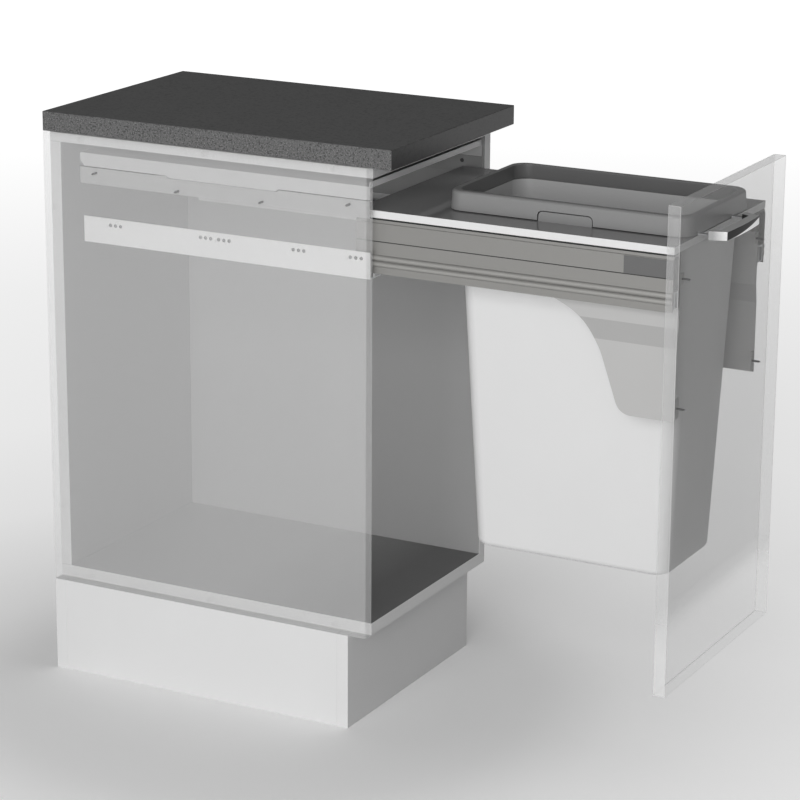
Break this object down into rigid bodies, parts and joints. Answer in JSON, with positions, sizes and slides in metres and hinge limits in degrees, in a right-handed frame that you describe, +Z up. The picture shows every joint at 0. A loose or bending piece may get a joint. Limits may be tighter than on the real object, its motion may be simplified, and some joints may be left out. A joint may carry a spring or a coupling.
{
  "type": "pull-out waste bin base cabinet",
  "caption": "Narrow kitchen base cabinet with a dark worktop, shown with its full-extension drawer run out: waste bin, bag ring, carrier plate, folded brackets, front and bow handle.",
  "frame": {"origin": "on the floor, under the middle of the object's box with the drawer run right out", "axes": "+X to the right seen from the front, +Y to the wall behind, +Z up; the drawer opens towards -Y"},
  "size_m": [0.4, 1.0736, 0.9],
  "materials": {
    "board": "light grey melamine-faced board",
    "ghost_board": null,
    "plinth_board": "matt white board",
    "timber": "plain sawn",
    "counter": "fine speckled dark grey",
    "white_steel": "powder coated white",
    "bare_steel": "zinc plated",
    "glide_plastic": "natural",
    "drawer_steel": "warm grey satin coating",
    "cover_plastic": "dark grey",
    "plate_plastic": "glossy grey top with bright edges",
    "bracket_steel": "light grey satin coating",
    "bin_plastic": "light grey moulded",
    "ring_plastic": "dark grey moulded",
    "handle_chrome": "polished",
    "fixing_steel": "zinc plated"
  },
  "bodies": {
    "carcass": {"side_panel_left": "ghost_board", "side_panel_right": "board", "bottom_panel": "board", "top_panel": "board", "back_panel": "board", "carcass_dowels": "timber", "worktop": "counter", "worktop_screws": "fixing_steel", "plinth_front": "plinth_board", "plinth_back": "plinth_board", "plinth_side_left": "plinth_board", "plinth_side_right": "plinth_board", "plinth_blocks": "timber", "plinth_screws": "fixing_steel", "cabinet_rail_left": "white_steel", "cabinet_rail_right": "white_steel", "rail_screws": "fixing_steel", "cabinet_glides": "glide_plastic", "lid_bracket_left": "white_steel", "lid_bracket_right": "white_steel", "lid_bracket_screws": "fixing_steel"},
    "middle_left": {"middle_rail_left": "bare_steel", "middle_glides_left": "glide_plastic"},
    "middle_right": {"middle_rail_right": "bare_steel", "middle_glides_right": "glide_plastic"},
    "drawer": {"drawer_rail_left": "bare_steel", "drawer_rail_right": "bare_steel", "drawer_side_left": "drawer_steel", "drawer_side_right": "drawer_steel", "side_cover_left": "cover_plastic", "side_cover_right": "cover_plastic", "drawer_back": "drawer_steel", "drawer_back_rivets": "fixing_steel", "carrier_plate": "plate_plastic", "plate_screws": "fixing_steel", "front_panel": "ghost_board", "front_bracket_left": "bracket_steel", "front_bracket_right": "bracket_steel", "bracket_rivets": "fixing_steel", "front_fixing_screws": "fixing_steel", "handle": "handle_chrome", "handle_screws": "fixing_steel"},
    "bin": {"bin": "bin_plastic"},
    "ring": {"bag_ring": "ring_plastic"},
    "lid": {"lid": "white_steel"}
  },
  "joints": [
    {"name": "drawer_slide", "type": "slide", "parent": "carcass", "child": "drawer", "axis": [0, -1, 0], "range_m": [-0.465, 0]},
    {"name": "middle_left_slide", "type": "slide", "parent": "carcass", "child": "middle_left", "axis": [0, -1, 0], "range_m": [-0.2325, 0]},
    {"name": "middle_right_slide", "type": "slide", "parent": "carcass", "child": "middle_right", "axis": [0, -1, 0], "range_m": [-0.2325, 0]},
    {"name": "bin_lift", "type": "slide", "parent": "drawer", "child": "bin", "axis": [0, 0, 1], "range_m": [0, 0.0015]},
    {"name": "ring_lift", "type": "slide", "parent": "bin", "child": "ring", "axis": [0, 0, 1], "range_m": [0, 0.0015]},
    {"name": "lid_lift", "type": "slide", "parent": "carcass", "child": "lid", "axis": [0, 0, 1], "range_m": [0, 0.005]}
  ],
  "couplings": [
    {"joint": "middle_left_slide", "follows": "drawer_slide", "ratio": 0.5},
    {"joint": "middle_right_slide", "follows": "drawer_slide", "ratio": 0.5}
  ]
}
